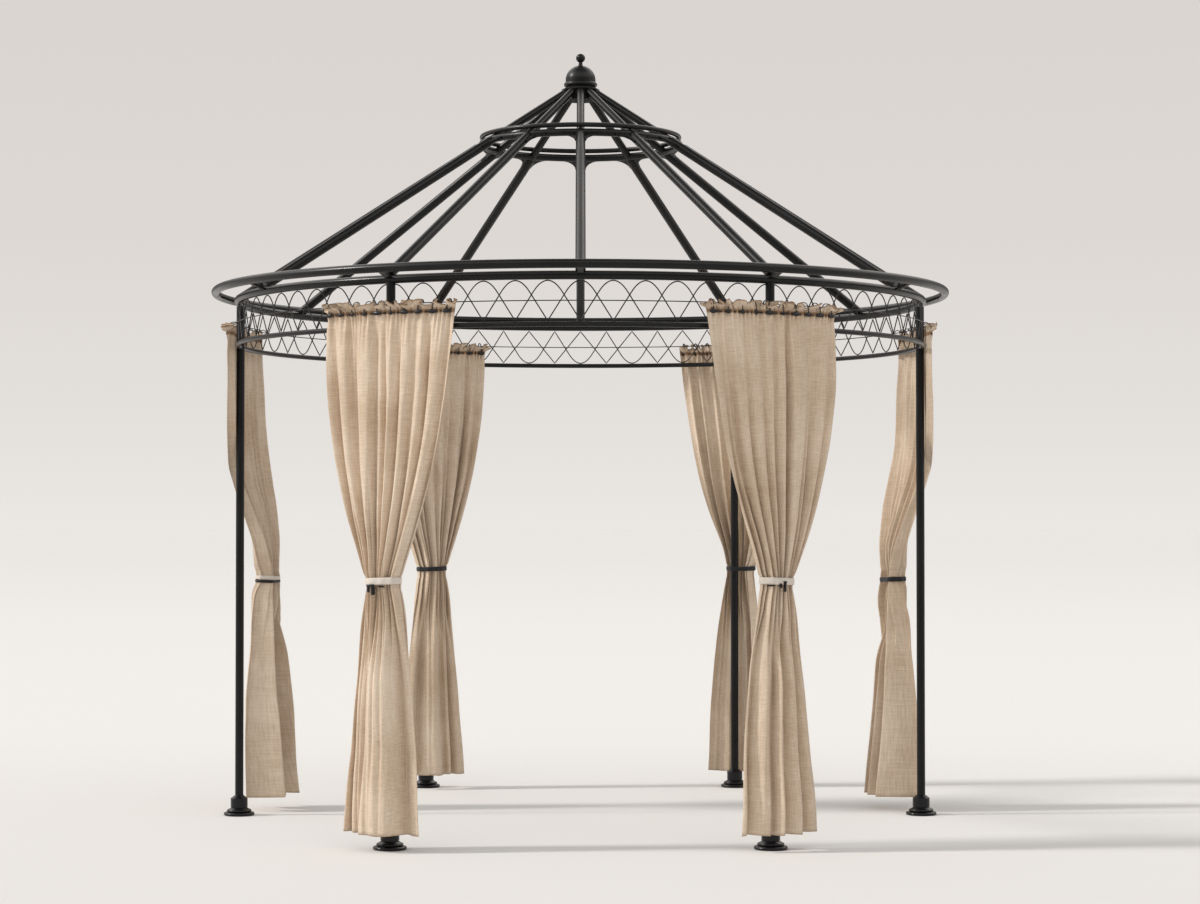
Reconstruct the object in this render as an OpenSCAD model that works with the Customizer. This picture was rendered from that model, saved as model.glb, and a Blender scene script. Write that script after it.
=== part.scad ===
// Round garden pergola, 3.1 m across, of bent steel tube, with six tied-back linen curtains.
// Origin: centre of the six feet, on the floor. +Z is up, -Y is the front.

/* [Plan] */
// Radius of the circle the six posts stand on
post_circle_r = 1447; // [1200:1:1800]
// Clear height from the floor to the underside of the lower ring
clear_h = 1976; // [1850:1:2300]
// Rise of the rafters' axes from the top ring's centre to the hub
roof_rise = 900; // [750:1:1080]

/* [Posts and feet] */
// Diameter of a post
post_d = 35; // [28:1:45]
// Height of a cast foot, from the floor to the top of its collar
foot_h = 85; // [65:1:110]
// Diameter of a foot's base plate
foot_d = 130; // [116:1:156]
// Thickness of the base plate, whose edge is a half round
foot_plate_h = 14; // [10:1:18]
// Diameter of the step on the base plate
foot_step_d = 104; // [94:1:112]
// Thickness of the step, whose edge is a half round too
foot_step_h = 12; // [8:1:16]
// Diameter of the foot's collar round the post
foot_collar_d = 72; // [62:1:80]
// Height of the collar's straight wall
foot_collar_h = 36; // [28:1:40]
// Width of the lip between the post and the foot's slope
foot_lip = 2; // [1:0.5:4]
// Rise of that slope for each unit it runs in
foot_slope = 0.8; // [0.5:0.1:1.2]
// Depth of the groove under the collar
foot_groove = 2; // [1:0.5:3]
// Thickness of metal under the post's end
foot_floor = 6; // [4:1:9]

/* [Rings] */
// Diameter of the top ring's tube, which sits on the posts
top_ring_d = 34; // [28:1:42]
// Diameter of the lower ring's tube, under the lattice
lower_ring_d = 20; // [16:1:26]
// Diameter of the eave ring's tube
eave_ring_d = 35; // [28:1:42]
// How far the eave ring stands out from the top ring, centre to centre
eave_out = 94; // [70:1:120]
// How far the eave ring stands above the top ring, centre to centre
eave_up = 35; // [20:1:50]
// Height of the lattice band, between the two rings' tubes
band_h = 157; // [120:1:200]
// Width of the cleats that hold the eave ring
cleat_w = 24; // [16:1:32]
// Thickness of those cleats
cleat_t = 9; // [6:1:12]

/* [Lattice] */
// Diameter of the lattice wire
wire_d = 5; // [4:1:8]
// Waves of each wire in one bay
waves_per_bay = 6; // [4:1:8]
// Diameter of the plain wire that carries the curtains
rail_d = 4; // [3:1:6]

/* [Roof] */
// Diameter of a rafter between the top ring and the crown ring
rafter_d = 39; // [32:1:44]
// Diameter of its drawn-down length above the crown ring
rafter_upper_d = 32; // [26:1:35]
// Height of a rafter's axis over the top ring's centre, where it saddles the ring
saddle_up = 25; // [18:1:30]
// How far a rafter's end runs past the top ring's centre
saddle_past = 11; // [6:1:16]
// Radius of the crown ring that ties the rafters
crown_r = 420; // [340:1:500]
// Diameter of the crown ring's tube
crown_d = 31; // [26:1:31]
// Diameter of the hoop that lies on the rafters over the crown ring
hoop_d = 20; // [14:1:24]
// Leg of the rounded gussets between rafters and crown ring
gusset_leg = 66; // [50:1:80]
// Thickness of those gussets
gusset_t = 12; // [8:1:16]
// Width of the metal a gusset keeps along its legs
gusset_rim = 6; // [4:1:10]

/* [Hub and finial] */
// Diameter of the drum the rafters butt on
hub_d = 144; // [138:1:160]
// How far the drum reaches under the rafters' ends
drum_below = 4; // [2:1:16]
// Diameter of the hub's flared skirt
skirt_d = 162; // [156:1:190]
// Diameter of the dome
dome_d = 128; // [110:1:134]
// Thickness of the bead round the dome's foot
bead_d = 22; // [16:1:28]
// Thickness of the skirt's rim
skirt_rim_h = 4; // [3:1:8]
// Height of the skirt's slope over its rim
skirt_slope_h = 10; // [6:1:16]
// Height of the dome's straight wall over the bead
dome_wall_h = 19; // [10:1:28]
// Diameter of the ball
ball_d = 39; // [32:1:48]
// Height of the neck between dome and ball
neck_h = 16; // [8:1:24]

/* [Curtains] */
// Height of a curtain's gathered heading over the clear height
heading_up = 109; // [90:1:130]
// Height of a curtain's hem
hem_z = 63; // [40:1:120]
// Height of the tie-backs' centre
tie_z = 1012; // [900:1:1100]
// Width of a heading along the ring
heading_w = 600; // [520:1:640]
// Depth of a heading's gathers
heading_depth = 46; // [36:1:60]
// Width of a tied waist along the ring
waist_w = 138; // [120:1:170]
// Depth of a tied waist
waist_depth = 96; // [80:1:110]
// Width of a flared hem along the ring
hem_w = 330; // [280:1:380]
// Depth of a flared hem on the front and back posts
hem_depth = 150; // [120:1:180]
// Gap between a curtain and the post or the ring it hangs on
curtain_gap = 0.3; // [0.3:0.1:2]
// Depth of a flared hem of the left and right curtains
side_hem_depth = 270; // [220:1:300]
// How far behind their posts the left and right curtains' headings are centred, along the ring
side_heading_shift = 160; // [120:1:200]
// How far behind their posts their tied waists and hems are
side_shift = 265; // [240:1:340]
// How far the middle of their tied waists hangs inside the circle of posts
side_waist_in = 70; // [40:1:90]
// How far the middle of their hems hangs inside the circle of posts
side_hem_in = 58; // [30:1:90]
// Height of the tie-back bands
tie_h = 30; // [12:1:40]
// Thickness of the tie-back bands
tie_t = 3; // [2:0.5:5]

/* [Hidden] */
$fn = 64;

ROUND = 1;
POINT = 0;
post_count = 6;
rafter_count = 2 * post_count;
bay = 360 / post_count;
first_post = -60;
FRONT_RIGHT = 0;
RIGHT = 1;
BACK_RIGHT = 2;
BACK_LEFT = 3;
LEFT = 4;
FRONT_LEFT = 5;

lower_ring_z = clear_h + lower_ring_d / 2;
top_ring_z = lower_ring_z + lower_ring_d / 2 + band_h + top_ring_d / 2;
apex_z = top_ring_z + roof_rise;
curtain_top_z = clear_h + heading_up;
eave_ring_r = post_circle_r + eave_out;
eave_ring_z = top_ring_z + eave_up;
band_mid_z = lower_ring_z + lower_ring_d / 2 + band_h / 2;
seat_gap = 0.3;
rail_r = post_circle_r + wire_d / 2 + rail_d / 2 + seat_gap;
// Share of a tube's diameter that a part saddled on it reaches past its near side
saddle_share = 0.3;

hub_r = hub_d / 2;
rafter_run = post_circle_r - hub_r;
rafter_drop = roof_rise - saddle_up;
pitch = atan2(rafter_drop, rafter_run);
rafter_len = norm([rafter_run + saddle_past, rafter_drop]);
rafter_root = rafter_upper_d * 0.4;
function rafter_z(r) = apex_z - (r - hub_r) * tan(pitch);
crown_z = rafter_z(crown_r);
crown_at = (crown_r - hub_r) / cos(pitch);
swage_at = crown_at + crown_d / 2;
hoop_z = crown_z + (rafter_upper_d / 2 + hoop_d / 2 + seat_gap) / cos(pitch);

skirt_z = apex_z + rafter_upper_d / 2 / cos(pitch) - (skirt_d - hub_d) / 2 * tan(pitch) - 1;
cap_d = dome_d - 4;
cap_z = skirt_z + skirt_rim_h + skirt_slope_h;
bead_z = cap_z + bead_d / 2 + 1;
// How far the bead stands out of the dome
bead_out = 7;
dome_z = bead_z + dome_wall_h;
neck_z = dome_z + dome_d / 2;
// How far the neck runs into the dome and into the ball
neck_sink = 4;
ball_z = neck_z + neck_h + ball_d / 2 - neck_sink;

// Tubes

module ring_tube(r, d, z) {
    translate([0, 0, z])
        rotate_extrude(angle = 360, $fn = 128)
            translate([r, 0])
                circle(d = d, $fn = 48);
}

// Feet and posts

module foot(i) {
    color("#15161a")
        rotate([0, 0, first_post + i * bay])
            translate([post_circle_r, 0, 0])
                difference() {
                    foot_casting();
                    translate([0, 0, foot_floor])
                        cylinder(d = post_d, h = foot_h);
                }
}

// A disc from height z up, with a half-round edge
module bullnose(d, z, h) {
    translate([0, z])
        square([(d - h) / 2, h]);
    translate([(d - h) / 2, z + h / 2])
        circle(d = h, $fn = 32);
}

module foot_casting() {
    collar_r = foot_collar_d / 2;
    lip_r = post_d / 2 + foot_lip;
    collar_z = foot_h - foot_collar_h - (collar_r - lip_r) * foot_slope;
    step_top = foot_plate_h + foot_step_h;
    rotate_extrude()
        union() {
            bullnose(foot_d, 0, foot_plate_h);
            bullnose(foot_step_d, foot_plate_h, foot_step_h);
            polygon([
                [0, 0], [(foot_step_d - foot_step_h) / 2 - 1, step_top],
                [collar_r - foot_groove, collar_z - foot_groove], [collar_r - foot_groove, collar_z],
                [collar_r, collar_z], [collar_r, collar_z + foot_collar_h],
                [lip_r, foot_h], [0, foot_h]
            ]);
        }
}

module post(i) {
    color("#2b2d30")
        difference() {
            rotate([0, 0, first_post + i * bay])
                translate([post_circle_r, 0, foot_floor])
                    cylinder(d = post_d, h = top_ring_z - foot_floor - top_ring_d * saddle_share);
            ring_tube(post_circle_r, top_ring_d, top_ring_z);
            ring_tube(post_circle_r, lower_ring_d, lower_ring_z);
            ring_tube(rail_r, rail_d, band_mid_z);
        }
}

// Rings, cleats and the curtain rail: the lower ring and the rail run through the posts

module lower_ring() {
    color("#2b2d30")
        ring_tube(post_circle_r, lower_ring_d, lower_ring_z);
}

module top_ring() {
    color("#2b2d30")
        ring_tube(post_circle_r, top_ring_d, top_ring_z);
}

module eave_ring() {
    color("#303236")
        ring_tube(eave_ring_r, eave_ring_d, eave_ring_z);
}

module eave_cleats() {
    reach = norm([eave_out, eave_up]);
    color("#2b2d30")
        difference() {
            for (i = [0 : rafter_count - 1])
                rotate([0, 0, i * 360 / rafter_count])
                    translate([post_circle_r, 0, top_ring_z])
                        rotate([0, -atan2(eave_up, eave_out), 0])
                            translate([top_ring_d * saddle_share, -cleat_w / 2, -cleat_t / 2])
                                cube([reach - (top_ring_d + eave_ring_d) * saddle_share, cleat_w, cleat_t]);
            ring_tube(post_circle_r, top_ring_d, top_ring_z);
            ring_tube(eave_ring_r, eave_ring_d, eave_ring_z);
        }
}

module curtain_rail() {
    color("#2b2d30")
        ring_tube(rail_r, rail_d, band_mid_z);
}

// Lattice: two waved wires in each bay, that cross halfway up the band

wave_sides = 5;
wave_steps = 8 * waves_per_bay;
wave_amp = band_h / 2 - wire_d / 2 - seat_gap;
wave_end = asin((post_d / 2 + seat_gap) / post_circle_r);
// Share of a rising stretch that is straight before it rounds over
straight = 0.55;
// Height, from -1 to 1, along a stretch that rises from a point to a round
function round_over(q) = q < straight
    ? -1 + 4 * q / (1 + straight)
    : 1 - 2 * (1 - q) * (1 - q) / (1 - straight * straight);
function wave_height(p, top, bottom) =
    let (q = 1 - abs(2 * (p - floor(p)) - 1))
    top == ROUND ? round_over(q) : bottom == ROUND ? -round_over(1 - q) : 2 * q - 1;
function wave_angle(t) = wave_end + t * (bay - 2 * wave_end);
function wave_point(t, a0, phase, top, bottom) =
    let (a = a0 + wave_angle(t), z = wave_amp * wave_height(waves_per_bay * t + phase, top, bottom))
    [post_circle_r * cos(a), post_circle_r * sin(a), band_mid_z + z];
function unit(v) = v / norm(v);
function wave_section(t, a0, phase, top, bottom) =
    let (
        p = wave_point(t, a0, phase, top, bottom),
        before = wave_point(t - 0.4 / wave_steps, a0, phase, top, bottom),
        after = wave_point(t + 0.4 / wave_steps, a0, phase, top, bottom),
        out = unit([p[0], p[1], 0]),
        across = cross(out, unit(after - before))
    )
    [for (k = [0 : wave_sides - 1])
        p + wire_d / 2 * (cos(k * 360 / wave_sides) * out + sin(k * 360 / wave_sides) * across)];

module wave_wire(a0, phase, top, bottom) {
    last = wave_sides * wave_steps;
    points = [for (s = [0 : wave_steps]) each wave_section(s / wave_steps, a0, phase, top, bottom)];
    walls = [for (s = [0 : wave_steps - 1], k = [0 : wave_sides - 1])
        let (a = s * wave_sides + k, b = s * wave_sides + (k + 1) % wave_sides)
        each [[a, b, b + wave_sides], [a, b + wave_sides, a + wave_sides]]];
    caps = [[for (k = [0 : wave_sides - 1]) wave_sides - 1 - k], [for (k = [0 : wave_sides - 1]) last + k]];
    polyhedron(points = points, faces = concat(walls, caps));
}

// The front bays have round tops and pointed feet; the back bays have pointed tops,
// and one of their two wires has round feet
module lattice(a0, at_front) {
    color("#232529")
        union() {
            wave_wire(a0, 0, at_front ? ROUND : POINT, at_front ? POINT : ROUND);
            wave_wire(a0, 0.5, at_front ? ROUND : POINT, POINT);
        }
}

// Roof

module rafter_bar(a) {
    step = rafter_d - rafter_upper_d;
    rotate([0, 0, a])
        translate([hub_r, 0, apex_z])
            rotate([0, 90 + pitch, 0]) {
                translate([0, 0, -rafter_root])
                    cylinder(d = rafter_upper_d, h = swage_at + rafter_root);
                translate([0, 0, swage_at])
                    cylinder(d1 = rafter_upper_d, d2 = rafter_d, h = step);
                translate([0, 0, swage_at + step])
                    cylinder(d = rafter_d, h = rafter_len - swage_at - step);
            }
}

module rafter(i) {
    color("#2b2d30")
        difference() {
            rafter_bar(-90 + (i - 1) * 360 / rafter_count);
            hub_blank();
            ring_tube(post_circle_r, top_ring_d, top_ring_z);
        }
}

module gusset() {
    difference() {
        translate([0, 0, -gusset_t / 2])
            cube([gusset_leg, gusset_leg, gusset_t]);
        translate([gusset_leg, gusset_leg, -gusset_t])
            cylinder(r = gusset_leg - gusset_rim, h = 2 * gusset_t);
    }
}

module crown_ring() {
    color("#2b2d30")
        difference() {
            union() {
                ring_tube(crown_r, crown_d, crown_z);
                for (i = [0 : rafter_count - 1], m = [0, 1])
                    rotate([0, 0, i * 360 / rafter_count])
                        mirror([0, m, 0])
                            translate([crown_r, 0, crown_z])
                                rotate([0, pitch, 0])
                                    translate([crown_d / 2 - gusset_rim, rafter_d / 2 - gusset_rim / 2, 0])
                                        gusset();
            }
            for (i = [0 : rafter_count - 1])
                rafter_bar(i * 360 / rafter_count);
        }
}

module crown_hoop() {
    color("#2b2d30")
        ring_tube(crown_r, hoop_d, hoop_z);
}

// Hub and finial

module hub_blank() {
    drum_h = rafter_upper_d / cos(pitch) + drum_below;
    translate([0, 0, skirt_z - drum_h])
        cylinder(d = hub_d, h = drum_h + 1);
    translate([0, 0, skirt_z])
        cylinder(d = skirt_d, h = skirt_rim_h);
    translate([0, 0, skirt_z + skirt_rim_h])
        cylinder(d1 = skirt_d, d2 = cap_d, h = skirt_slope_h);
}

module hub() {
    color("#26282b")
        hub_blank();
}

module finial() {
    color("#26282b") {
        translate([0, 0, cap_z])
            cylinder(d = cap_d, h = bead_z - cap_z);
        ring_tube((dome_d - bead_d) / 2 + bead_out, bead_d, bead_z);
        translate([0, 0, bead_z])
            cylinder(d = dome_d, h = dome_wall_h);
        translate([0, 0, dome_z])
            intersection() {
                sphere(d = dome_d);
                cylinder(d = dome_d + 2, h = dome_d);
            }
        translate([0, 0, neck_z - neck_sink])
            cylinder(d1 = ball_d / 2, d2 = ball_d * 0.38, h = neck_h + neck_sink);
        translate([0, 0, ball_z])
            sphere(d = ball_d);
    }
}

// Curtains: each a closed body from its gathered heading through its tied waist to its flared hem

curtain_fn = 28;
wall = post_d / 2 + curtain_gap;
collar_wall = foot_collar_d / 2 + curtain_gap;
// Half the height of the straight waist inside a tie-back
tie_half = tie_h / 2 + tie_t;
eighth = (curtain_top_z - tie_z) / 8;
low_w = (waist_w + hem_w) * 0.46;

// Height, width along the ring, depth, how far the inner face is outside the circle of posts,
// and how far the middle is from the post along the ring
post_sections = [
    [curtain_top_z, heading_w, heading_depth, wall, 0],
    [curtain_top_z - 1.6 * eighth, heading_w * 0.97, heading_depth * 1.2, wall, 0],
    [curtain_top_z - 3.6 * eighth, heading_w * 0.80, heading_depth * 1.6, wall, 0],
    [curtain_top_z - 5.6 * eighth, heading_w * 0.54, heading_depth * 1.9, wall, 0],
    [curtain_top_z - 7.0 * eighth, heading_w * 0.36, waist_depth, wall, 0],
    [tie_z + tie_half, waist_w, waist_depth, wall, 0],
    [tie_z - tie_half, waist_w, waist_depth, wall, 0],
    [tie_z - 180, waist_w * 1.25, waist_depth * 1.15, wall, 0],
    [tie_z - 480, low_w, (waist_depth + hem_depth) * 0.47, wall, 0],
    [foot_h + 10, hem_w * 0.98, hem_depth * 0.98, collar_wall, 0],
    [hem_z, hem_w, hem_depth, collar_wall, 0]
];
// The same curtain on the inner side of its post
inside_sections = [for (s = post_sections) [s[0], s[1], s[2], -s[3] - s[2], s[4]]];
// A curtain that crosses outside its post at the top and is tied back inside the circle of posts
waist_wall = -side_waist_in - waist_depth / 2;
hem_wall = -side_hem_in - side_hem_depth / 2;
shift_step = (side_shift - side_heading_shift) / 8;
side_sections = [
    [curtain_top_z, heading_w, heading_depth, wall, side_heading_shift],
    [curtain_top_z - 1.6 * eighth, heading_w * 0.97, heading_depth * 1.2, wall, side_shift - 7 * shift_step],
    [curtain_top_z - 3.6 * eighth, heading_w * 0.80, heading_depth * 1.6, wall, side_shift - 5 * shift_step],
    [curtain_top_z - 5.0 * eighth, heading_w * 0.62, heading_depth * 1.8, 0, side_shift - 2 * shift_step],
    [curtain_top_z - 6.0 * eighth, heading_w * 0.49, heading_depth * 1.9, waist_wall * 0.62, side_shift],
    [curtain_top_z - 7.0 * eighth, heading_w * 0.36, waist_depth, waist_wall * 0.96, side_shift],
    [tie_z + tie_half, waist_w, waist_depth, waist_wall, side_shift],
    [tie_z - tie_half, waist_w, waist_depth, waist_wall, side_shift],
    [tie_z - 180, waist_w * 1.25, waist_depth * 1.25, waist_wall * 1.1, side_shift],
    [tie_z - 480, low_w, (waist_depth + side_hem_depth) * 0.48, (waist_wall + hem_wall) / 2, side_shift],
    [hem_z, hem_w, side_hem_depth, hem_wall, side_shift]
];

// way is 1 for a curtain shifted anticlockwise from its post, -1 for one shifted clockwise
function curtain_loop(s, way) =
    [for (k = [0 : curtain_fn - 1])
        let (
            mid_r = post_circle_r + s[3] + s[2] / 2,
            a = along_ring(way * s[4]) + s[1] / 2 * cos(k * 360 / curtain_fn) / mid_r * 180 / PI,
            r = mid_r + s[2] / 2 * sin(k * 360 / curtain_fn)
        )
        [r * cos(a), r * sin(a), s[0]]];

module curtain(i, sections, way = 1) {
    last = (len(sections) - 1) * curtain_fn;
    walls = [for (s = [0 : len(sections) - 2], k = [0 : curtain_fn - 1])
        let (a = s * curtain_fn + k, b = s * curtain_fn + (k + 1) % curtain_fn)
        each [[a, b, b + curtain_fn], [a, b + curtain_fn, a + curtain_fn]]];
    top = [for (k = [0 : curtain_fn - 1]) curtain_fn - 1 - k];
    bottom = [for (k = [0 : curtain_fn - 1]) last + k];
    color("#dccdb6")
        rotate([0, 0, first_post + i * bay])
            polyhedron(
                points = [for (s = sections) each curtain_loop(s, way)],
                faces = concat([top], walls, [bottom])
            );
}

// The angle of a length along the circle of posts
function along_ring(length) = length / post_circle_r * 180 / PI;

// A band round the waist, and round the post too where the curtain hangs against it,
// on the outer side of the post or, with side = -1, on its inner side
module post_tie(i, side = 1) {
    tie_band(first_post + i * bay, post_circle_r + side * (wall + waist_depth / 2), true);
}

module side_tie(i, way) {
    tie_band(first_post + i * bay + along_ring(way * side_shift), post_circle_r - side_waist_in, false);
}

module tie_band(a, waist_r, round_post) {
    rotate([0, 0, a])
        translate([0, 0, tie_z - tie_h / 2])
            linear_extrude(tie_h)
                difference() {
                    tie_outline(waist_r, tie_t + 2 * seat_gap, round_post);
                    tie_outline(waist_r, 2 * seat_gap, round_post);
                }
}

module tie_outline(waist_r, grow, round_post) {
    hull() {
        translate([waist_r, 0])
            scale([(waist_depth / 2 + grow) / 100, (waist_w / 2 + grow) / 100])
                circle(r = 100, $fn = 48);
        if (round_post)
            translate([post_circle_r, 0])
                circle(d = post_d + 2 * grow, $fn = 32);
    }
}

module cloth_ties() {
    color("#e9e2d4") {
        post_tie(FRONT_LEFT);
        post_tie(FRONT_RIGHT);
        side_tie(LEFT, -1);
    }
}

module strap_ties() {
    color("#1c1d20") {
        post_tie(BACK_LEFT, -1);
        post_tie(BACK_RIGHT);
        side_tie(RIGHT, 1);
    }
}

foot(FRONT_RIGHT);  // foot_front_right
foot(RIGHT);  // foot_right
foot(BACK_RIGHT);  // foot_back_right
foot(BACK_LEFT);  // foot_back_left
foot(LEFT);  // foot_left
foot(FRONT_LEFT);  // foot_front_left
post(FRONT_RIGHT);  // post_front_right
post(RIGHT);  // post_right
post(BACK_RIGHT);  // post_back_right
post(BACK_LEFT);  // post_back_left
post(LEFT);  // post_left
post(FRONT_LEFT);  // post_front_left
lower_ring();
top_ring();
eave_ring();
eave_cleats();
curtain_rail();
lattice(-120, true);  // lattice_front
lattice(-60, true);  // lattice_front_right
lattice(0, false);  // lattice_back_right
lattice(60, false);  // lattice_back
lattice(120, false);  // lattice_back_left
lattice(180, true);  // lattice_front_left
rafter(1);  // rafter_01
rafter(2);  // rafter_02
rafter(3);  // rafter_03
rafter(4);  // rafter_04
rafter(5);  // rafter_05
rafter(6);  // rafter_06
rafter(7);  // rafter_07
rafter(8);  // rafter_08
rafter(9);  // rafter_09
rafter(10);  // rafter_10
rafter(11);  // rafter_11
rafter(12);  // rafter_12
crown_ring();
crown_hoop();
hub();
finial();
curtain(FRONT_RIGHT, post_sections);  // curtain_front_right
curtain(RIGHT, side_sections);  // curtain_right
curtain(BACK_RIGHT, post_sections);  // curtain_back_right
curtain(BACK_LEFT, inside_sections);  // curtain_back_left
curtain(LEFT, side_sections, -1);  // curtain_left
curtain(FRONT_LEFT, post_sections);  // curtain_front_left
cloth_ties();
strap_ties();
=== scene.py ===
import math

import bmesh
import bpy
import numpy as np
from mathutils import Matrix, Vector, noise


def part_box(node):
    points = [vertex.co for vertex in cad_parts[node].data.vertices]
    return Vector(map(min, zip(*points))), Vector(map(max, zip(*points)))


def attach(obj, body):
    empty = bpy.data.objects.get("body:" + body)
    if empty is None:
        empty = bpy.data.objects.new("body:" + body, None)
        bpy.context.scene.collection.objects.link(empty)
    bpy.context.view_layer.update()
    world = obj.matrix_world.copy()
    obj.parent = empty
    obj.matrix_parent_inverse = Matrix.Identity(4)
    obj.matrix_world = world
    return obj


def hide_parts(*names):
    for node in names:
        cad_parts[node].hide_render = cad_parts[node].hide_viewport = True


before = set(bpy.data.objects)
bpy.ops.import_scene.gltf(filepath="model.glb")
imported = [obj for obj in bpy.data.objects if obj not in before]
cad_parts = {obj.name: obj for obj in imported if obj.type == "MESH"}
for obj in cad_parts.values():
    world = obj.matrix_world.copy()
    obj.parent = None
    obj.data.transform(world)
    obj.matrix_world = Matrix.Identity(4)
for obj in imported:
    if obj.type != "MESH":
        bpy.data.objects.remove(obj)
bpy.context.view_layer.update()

# Round garden pergola: the finishes of its steel, the lattice wires, the six linen curtains with
# their hooks and tie-backs, the light and the camera. Metres, +Z up, -Y the front.

CLOTH_W = 0.9
CLOTH_H = 2.03
SIDES = ["front_right", "right", "back_right", "back_left", "left", "front_left"]
POST_ANGLE = {side: math.radians(-60 + 60 * i) for i, side in enumerate(SIDES)}


# ---------------------------------------- sizes read from the frame

def ring_of(name):
    """Radius and height of a ring's middle line."""
    low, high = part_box(name)
    return high.x - (high.z - low.z) / 2, (high.z + low.z) / 2


TOP_R = ring_of("top_ring")[0]
RAIL_R, RAIL_Z = ring_of("curtain_rail")
post_low, post_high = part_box("post_right")
POST_R = (post_high.y - post_low.y) / 2
lattice_low, lattice_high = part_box("lattice_front")
WIRE_R = 0.0024
WIRE_INSET = 0.0025
WAVE_RISE = (lattice_high.z - lattice_low.z) / 2 - WIRE_INSET
WAVE_MID = (lattice_high.z + lattice_low.z) / 2


# ---------------------------------------- small helpers

def node(tree, kind, **values):
    """A node with its named settings."""
    made = tree.nodes.new(kind)
    for name, value in values.items():
        setattr(made, name, value)
    return made


def link(tree, source, target):
    tree.links.new(source, target)


def put(tree, value, socket):
    """Give a socket its value: another socket, or a plain constant."""
    if isinstance(value, bpy.types.NodeSocket):
        tree.links.new(value, socket)
    else:
        socket.default_value = value


def settle(made, **values):
    """Set several input sockets to constants."""
    for label, value in values.items():
        made.inputs[label.replace("_", " ")].default_value = value


def maths(tree, operation, a, b=None):
    """A Math node's result, from sockets or plain numbers."""
    made = node(tree, "ShaderNodeMath", operation=operation)
    put(tree, a, made.inputs[0])
    if b is not None:
        put(tree, b, made.inputs[1])
    return made.outputs[0]


def placed(name, data):
    """An object at the origin of the scene."""
    made = bpy.data.objects.new(name, data)
    bpy.context.scene.collection.objects.link(made)
    return made


def mesh_piece(name, points, faces, edges=()):
    """A smooth mesh object at the origin."""
    mesh = bpy.data.meshes.new(name)
    mesh.from_pydata([tuple(p) for p in points], edges, faces)
    mesh.update()
    mesh.shade_smooth()
    return placed(name, mesh)


def finish_piece(piece, material):
    """Give a piece its finish and its body."""
    piece.data.materials.clear()
    piece.data.materials.append(material)
    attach(piece, "root")
    return piece


def on_circle(radius, angle, z):
    return Vector((radius * math.cos(angle), radius * math.sin(angle), z))


# ---------------------------------------- finishes

# How much the crossing threads and the slubs show, in relief and in tone
THREAD_RELIEF = 0.35
THREAD_TONE = 0.22
# Slubs a metre across and along the cloth, and a seed
WARP_SLUBS = (300, 16, 1.7)
WEFT_SLUBS = (18, 280, 6.2)
# The part of the slow patches that the colours and the roughness run over
PATCH_LOW = 0.3
PATCH_HIGH = 0.7
PAINT_PATCHES = 5.0
PAINT_SPECULAR = 0.20
PAINT_BUMP = 0.25
COAT_ROUGHNESS = 0.22
LINEN_PATCHES = 4.0
LINEN_GRAIN = 900.0
LINEN_TONE = (0.18, 0.82)
LINEN_BUMP = 0.5
LINEN_BUMP_DEPTH = 0.0006
LINEN_ROUGHNESS = 0.92
LINEN_SHEEN = 0.15


FLOAT = "NodeSocketFloat"


def new_group(name, inputs, outputs):
    """An empty shader node group: inputs and outputs are (name, kind, default) and (name, kind)."""
    group = bpy.data.node_groups.new(name, "ShaderNodeTree")
    for label, kind, default in inputs:
        socket = group.interface.new_socket(name=label, in_out="INPUT", socket_type=kind)
        socket.default_value = default
    for label, kind in outputs:
        group.interface.new_socket(name=label, in_out="OUTPUT", socket_type=kind)
    entry = group.nodes.new("NodeGroupInput")
    leave = group.nodes.new("NodeGroupOutput")
    return group, entry, leave


def mottle_group():
    """Slow patches and fine grain, as values from 0 to 1."""
    group, entry, leave = new_group(
        "mottle",
        [("Position", "NodeSocketVector", (0, 0, 0)), ("Patch Scale", FLOAT, 3.0),
         ("Grain Scale", FLOAT, 600.0)],
        [("Patch", FLOAT), ("Grain", FLOAT)],
    )
    for result, detail in (("Patch", 3), ("Grain", 1)):
        cloudy = node(group, "ShaderNodeTexNoise")
        settle(cloudy, Detail=detail)
        link(group, entry.outputs["Position"], cloudy.inputs["Vector"])
        link(group, entry.outputs[f"{result} Scale"], cloudy.inputs["Scale"])
        link(group, cloudy.outputs["Fac"], leave.inputs[result])
    return group


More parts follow.
